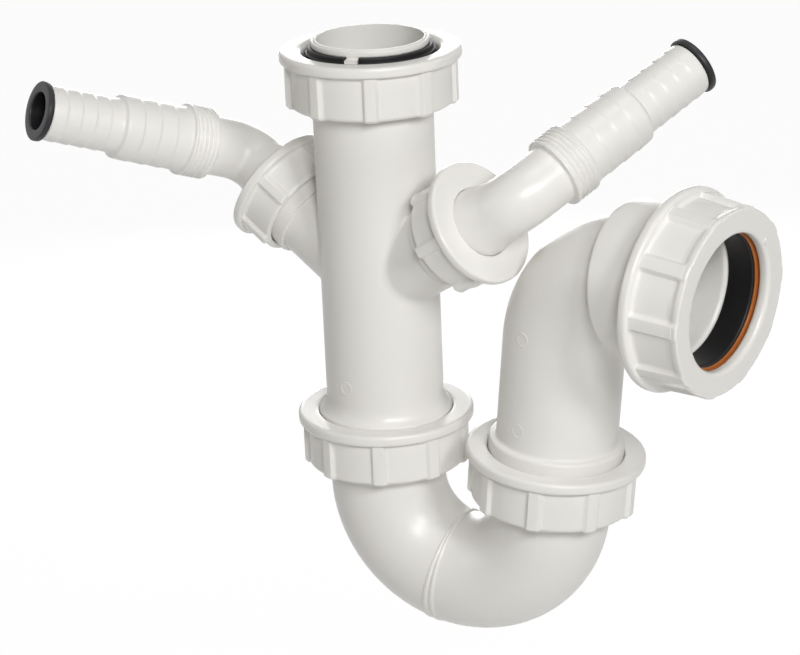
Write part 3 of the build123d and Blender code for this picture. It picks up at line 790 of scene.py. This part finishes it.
branch_nut_outline = [
    (BRANCH_NUT_BORE, branch_mouth),
    (BRANCH_BARREL_RADIUS, branch_mouth),
    (BRANCH_BARREL_RADIUS, branch_rim_rear),
    (BRANCH_RIM_RADIUS, branch_rim_rear),
    (BRANCH_RIM_RADIUS, branch_rim_top),
    (BRANCH_HOLE_RADIUS, branch_rim_top),
    (BRANCH_HOLE_RADIUS, branch_rim_top - BRANCH_LIP_THICKNESS),
    (BRANCH_NUT_BORE, branch_rim_top - BRANCH_LIP_THICKNESS),
]
rounded_branch_nut = stretched(softened(branch_nut_outline, BRANCH_ROUNDING), NUT_STEP)
for side in BRANCH_AZIMUTH:
    share = ribs(BRANCH_RIB_COUNT, BRANCH_RIB_HALF_WIDTH, BRANCH_RIB_SOFTNESS, BRANCH_BARREL_RADIUS,
                 BRANCH_NUT_TURN[side])
    branch_ribs = rib_relief(share, branch_rib_top, BRANCH_WALL_MIDDLE)
    nut = carried(side + "_branch_nut_shell", rounded_branch_nut, straight(branch_frame(side)),
                  BRANCH_RIB_COUNT * RIB_SEGMENTS, branch_ribs)
    dressed(nut, NUT_PLASTIC, "white_plastic", side + "_branch_nut", side + "_branch_nut")
    painted(side + "_branch_washer", RUBBER)

# Hose nozzles: bent polypropylene spouts with a flanged foot, a threaded collar for a hose nut
# and two sizes of shallow hose barb.
NOZZLE_SWIVEL = {"right": math.radians(-76.5), "left": math.radians(-84.3)}
NOZZLE_FLANGE_RADIUS = 16.6
NOZZLE_FLANGE_THICKNESS = 2.8
NOZZLE_FLANGE_ROOM = 0.3
NOZZLE_ROOT_RADIUS = 12.5
NOZZLE_CORNER = 19.3
NOZZLE_TURN = math.radians(60.0)
NOZZLE_BEND_RADIUS = 13.5
NOZZLE_NECK_RADIUS = 11.0
NOZZLE_BORE = 8.4
NOZZLE_ROOT_BORE = 10.3
THREAD_COLLAR_RADIUS = 13.2
THREAD_COLLAR_START = 17.3
THREAD_COLLAR_END = 27.4
THREAD_PITCH = 1.81
THREAD_DEPTH = 0.8
THREAD_MARGIN = 0.8
THREAD_EASE = 0.6
THREAD_TOLERANCE = 0.02
LARGE_BARB_RADIUS = 12.0
LARGE_BARB_END = 54.2
LARGE_BARB_COUNT = 4
SMALL_BARB_RADIUS = 10.1
SMALL_BARB_COUNT = 5
NOZZLE_LENGTH = 82.4
BARB_DEPTH = 0.35
BARB_EASE = 0.35
NOZZLE_STEP = 0.8
THREAD_STEP = 0.22
NOZZLE_ROUNDING = 0.8
NOZZLE_SEGMENTS = 96
NOZZLE_CREASE = 70
NOZZLE_WHITE = (0.87, 0.86, 0.835)
NOZZLE_PLASTIC = moulded_material("nozzle_polypropylene", NOZZLE_WHITE, roughness=0.34, flow=0.03, bump=0.1)
nozzle_flange_top = branch_rim_top - BRANCH_LIP_THICKNESS - NOZZLE_FLANGE_ROOM
nozzle_flange_bottom = nozzle_flange_top - NOZZLE_FLANGE_THICKNESS
nozzle_setback = NOZZLE_BEND_RADIUS * math.tan(NOZZLE_TURN / 2)
nozzle_start = BRANCH_RIM_REACH + NOZZLE_CORNER - nozzle_setback


def past_nozzle(distance):
    """Path distance of a place measured from the nozzle's corner."""
    return nozzle_start + NOZZLE_BEND_RADIUS * NOZZLE_TURN + distance - nozzle_setback


def barb_corners(radius, start, end, count):
    """Saw-tooth outline of shallow barbs, each highest on the side of the body."""
    pitch = (end - start) / count
    corners = []
    for i in range(count):
        corners += [
            (radius, past_nozzle(start + pitch * i + BARB_EASE)),
            (radius - BARB_DEPTH, past_nozzle(start + pitch * (i + 1) - BARB_EASE)),
        ]
    return corners


nozzle_outline = [
    (NOZZLE_ROOT_BORE, nozzle_flange_bottom),
    (NOZZLE_FLANGE_RADIUS, nozzle_flange_bottom),
    (NOZZLE_FLANGE_RADIUS, nozzle_flange_top),
    (NOZZLE_ROOT_RADIUS, nozzle_flange_top),
    (NOZZLE_ROOT_RADIUS, branch_rim_top),
    (NOZZLE_NECK_RADIUS, nozzle_start),
    (NOZZLE_NECK_RADIUS, past_nozzle(THREAD_COLLAR_START)),
    (THREAD_COLLAR_RADIUS, past_nozzle(THREAD_COLLAR_START)),
    (THREAD_COLLAR_RADIUS, past_nozzle(THREAD_COLLAR_END)),
    *barb_corners(LARGE_BARB_RADIUS, THREAD_COLLAR_END, LARGE_BARB_END, LARGE_BARB_COUNT),
    *barb_corners(SMALL_BARB_RADIUS, LARGE_BARB_END, NOZZLE_LENGTH, SMALL_BARB_COUNT),
    (NOZZLE_BORE, past_nozzle(NOZZLE_LENGTH)),
    (NOZZLE_BORE, nozzle_start),
]
collar_start, collar_end = past_nozzle(THREAD_COLLAR_START), past_nozzle(THREAD_COLLAR_END)


def hose_thread(radius, distance, angle):
    """Helical grooves cut into the collar, fading out at both of its ends."""
    on_collar = radius > THREAD_COLLAR_RADIUS - THREAD_TOLERANCE
    fade_in = np.clip((distance - collar_start - THREAD_MARGIN) / THREAD_EASE, 0, 1)
    fade_out = np.clip((collar_end - THREAD_MARGIN - distance) / THREAD_EASE, 0, 1)
    groove = THREAD_DEPTH * fade_in * fade_out * thread_wave(distance, angle, THREAD_PITCH)
    return np.where(on_collar, radius - groove, radius)


def nozzle_frame(side):
    """Frame of a nozzle: its branch's frame turned round the branch to where the hose leaves."""
    origin, x, y, z = branch_frame(side)
    swivel = NOZZLE_SWIVEL[side]
    return frame_of(origin, math.cos(swivel) * x + math.sin(swivel) * y, z)


rounded_nozzle = softened(nozzle_outline, NOZZLE_ROUNDING)
nozzle_rows = refined(rounded_nozzle, NOZZLE_STEP, collar_start, collar_end, THREAD_STEP)
nozzle_paths = {
    side: bent(nozzle_frame(side), nozzle_start, NOZZLE_BEND_RADIUS, NOZZLE_TURN)
    for side in BRANCH_AZIMUTH
}
for side, path in nozzle_paths.items():
    nozzle = carried(side + "_nozzle_shell", nozzle_rows, path, NOZZLE_SEGMENTS, hose_thread, NOZZLE_CREASE)
    dressed(nozzle, NOZZLE_PLASTIC, "white_plastic", side + "_nozzle", side + "_nozzle")

# Blanking plugs: hollow black plastic plugs pushed into the nozzles until a hose is fitted.
# Each has a flange over the nozzle's end and a recess that a finger can hook into.
PLUG_FLANGE_RADIUS = 10.8
PLUG_FLANGE_THICKNESS = 2.3
PLUG_STEM_RADIUS = 8.34
PLUG_STEM_LENGTH = 12.0
PLUG_HOLLOW_RADIUS = 6.84
PLUG_FLOOR = 2.0
PLUG_ROUNDING = 0.7
PLUG_SEGMENTS = 72
PLUG_BLACK = (0.010, 0.010, 0.012)
PLUG_PLASTIC = moulded_material("plug_plastic", PLUG_BLACK, roughness=0.42, flow=0.4, bump=0.25, specular=0.4)
plug_face = past_nozzle(NOZZLE_LENGTH + PLUG_FLANGE_THICKNESS)
plug_seat = past_nozzle(NOZZLE_LENGTH)
plug_bottom = past_nozzle(NOZZLE_LENGTH - PLUG_STEM_LENGTH)
plug_outline = [
    (0, plug_bottom),
    (PLUG_STEM_RADIUS, plug_bottom),
    (PLUG_STEM_RADIUS, plug_seat),
    (PLUG_FLANGE_RADIUS, plug_seat),
    (PLUG_FLANGE_RADIUS, plug_face),
    (PLUG_HOLLOW_RADIUS, plug_face),
    (PLUG_HOLLOW_RADIUS, plug_bottom + PLUG_FLOOR),
    (0, plug_bottom + PLUG_FLOOR),
]
between_poles = softened(plug_outline, PLUG_ROUNDING)[CORNER_STEPS:-CORNER_STEPS]
rounded_plug = np.concatenate([plug_outline[:1], between_poles, plug_outline[-1:]])
for side, path in nozzle_paths.items():
    plug = carried(side + "_plug_cup", rounded_plug, path, PLUG_SEGMENTS)
    dressed(plug, PLUG_PLASTIC, "black_plastic", side + "_plug", side + "_blanking_plug")

# Studio: a pale floor below the hanging trap, square soft lamps in front, above, at the left and
# behind, and a world that is white where it is seen or mirrored and gives a faint warm fill.
scene = bpy.context.scene
scene.view_settings.view_transform = "Standard"
FLOOR_HEIGHT = -0.42
FLOOR_HALF = 4.0
FLOOR_COLOUR = (0.9, 0.9, 0.9)
FLOOR_ROUGHNESS = 0.9
FLOOR_GLOW = 1.03
FLOOR_GLOW_SHARE = 0.93
floor_points = [(-FLOOR_HALF, -FLOOR_HALF, FLOOR_HEIGHT), (FLOOR_HALF, -FLOOR_HALF, FLOOR_HEIGHT),
                (FLOOR_HALF, FLOOR_HALF, FLOOR_HEIGHT), (-FLOOR_HALF, FLOOR_HALF, FLOOR_HEIGHT)]
floor_mesh = bpy.data.meshes.new("floor")
floor_mesh.from_pydata(floor_points, [], [(0, 1, 2, 3)])
floor = bpy.data.objects.new("floor", floor_mesh)
scene.collection.objects.link(floor)


def background_ray(nodes, links):
    """Share of 1 on rays that look at the background: camera, glossy and transmission rays, capped at 1."""
    path = nodes.new("ShaderNodeLightPath")
    mirrored = nodes.new("ShaderNodeMath")
    mirrored.operation = "ADD"
    mirrored.use_clamp = True
    seen = nodes.new("ShaderNodeMath")
    seen.operation = "ADD"
    seen.use_clamp = True
    links.new(path.outputs["Is Glossy Ray"], mirrored.inputs[0])
    links.new(path.outputs["Is Transmission Ray"], mirrored.inputs[1])
    links.new(path.outputs["Is Camera Ray"], seen.inputs[0])
    links.new(mirrored.outputs[0], seen.inputs[1])
    return seen.outputs[0]


floor_material = bpy.data.materials.new("pale_floor")
floor_material.use_nodes = True
floor_nodes, floor_links = floor_material.node_tree.nodes, floor_material.node_tree.links
floor_surface = floor_nodes["Principled BSDF"]
floor_surface.inputs["Base Color"].default_value = (*FLOOR_COLOUR, 1)
floor_surface.inputs["Roughness"].default_value = FLOOR_ROUGHNESS
floor_white = floor_nodes.new("ShaderNodeEmission")
floor_white.inputs["Strength"].default_value = FLOOR_GLOW
floor_share = floor_nodes.new("ShaderNodeMath")
floor_share.operation = "MULTIPLY"
floor_share.inputs[1].default_value = FLOOR_GLOW_SHARE
floor_mix = floor_nodes.new("ShaderNodeMixShader")
floor_links.new(background_ray(floor_nodes, floor_links), floor_share.inputs[0])
floor_links.new(floor_share.outputs[0], floor_mix.inputs["Fac"])
floor_links.new(floor_surface.outputs["BSDF"], floor_mix.inputs[1])
floor_links.new(floor_white.outputs["Emission"], floor_mix.inputs[2])
floor_links.new(floor_mix.outputs["Shader"], floor_nodes["Material Output"].inputs["Surface"])
floor.data.materials.append(floor_material)

FILL_COLOUR = (1.0, 0.88, 0.72)
FILL_STRENGTH = 0.09
world = bpy.data.worlds.new("studio")
scene.world = world
world.use_nodes = True
world_nodes, world_links = world.node_tree.nodes, world.node_tree.links
fill = world_nodes["Background"]
fill.inputs["Color"].default_value = (*FILL_COLOUR, 1)
fill.inputs["Strength"].default_value = FILL_STRENGTH
white = world_nodes.new("ShaderNodeBackground")
white.inputs["Color"].default_value = (1, 1, 1, 1)
world_mix = world_nodes.new("ShaderNodeMixShader")
world_links.new(background_ray(world_nodes, world_links), world_mix.inputs["Fac"])
world_links.new(fill.outputs["Background"], world_mix.inputs[1])
world_links.new(white.outputs["Background"], world_mix.inputs[2])
world_links.new(world_mix.outputs["Shader"], world_nodes["World Output"].inputs["Surface"])

CAMERA_AZIMUTH = math.radians(28.42)
CAMERA_ELEVATION = math.radians(19.707)
CAMERA_ROLL = math.radians(-2.398)
CAMERA_DISTANCE = 0.949
CAMERA_TARGET = Vector((0.0056, 0.0030, -0.1045))
CAMERA_LENS = 117.0
CAMERA_CLIP = 0.05
back = Vector((math.sin(CAMERA_AZIMUTH) * math.cos(CAMERA_ELEVATION),
               -math.cos(CAMERA_AZIMUTH) * math.cos(CAMERA_ELEVATION), math.sin(CAMERA_ELEVATION)))
level_right = Vector((math.cos(CAMERA_AZIMUTH), math.sin(CAMERA_AZIMUTH), 0))
level_up = back.cross(level_right)
right = math.cos(CAMERA_ROLL) * level_right + math.sin(CAMERA_ROLL) * level_up
up = math.cos(CAMERA_ROLL) * level_up - math.sin(CAMERA_ROLL) * level_right
camera = bpy.data.objects.new("camera", bpy.data.cameras.new("camera"))
camera.data.lens = CAMERA_LENS
camera.data.sensor_fit = "HORIZONTAL"
camera.data.clip_start = CAMERA_CLIP
facing = Matrix((right, up, back)).transposed().to_4x4()
camera.matrix_world = Matrix.Translation(CAMERA_TARGET + back * CAMERA_DISTANCE) @ facing
scene.collection.objects.link(camera)
scene.camera = camera


def soft_lamp(name, rightward, upward, nearer, size, power):
    """Square area lamp aimed at the object's middle, placed from there to the camera's right, up and
    nearer to the camera, in metres."""
    lamp = bpy.data.lights.new(name, "AREA")
    lamp.size = size
    lamp.energy = power
    holder = bpy.data.objects.new(name, lamp)
    offset = level_right * rightward + Vector((0, 0, 1)) * upward + back * nearer
    holder.location = CAMERA_TARGET + offset
    holder.rotation_mode = "QUATERNION"
    holder.rotation_quaternion = (-offset).to_track_quat("-Z", "Y")
    scene.collection.objects.link(holder)


soft_lamp("front", rightward=0.15, upward=0.2, nearer=1.15, size=0.25, power=5.7)
soft_lamp("front_right", rightward=0.55, upward=0.28, nearer=1.0, size=0.22, power=4.3)
soft_lamp("top", rightward=0.1, upward=1.3, nearer=0.3, size=0.5, power=3.0)
soft_lamp("left", rightward=-1.2, upward=0.3, nearer=0.3, size=0.4, power=1.1)
soft_lamp("rear", rightward=0.0, upward=0.5, nearer=-1.2, size=0.5, power=4.5)
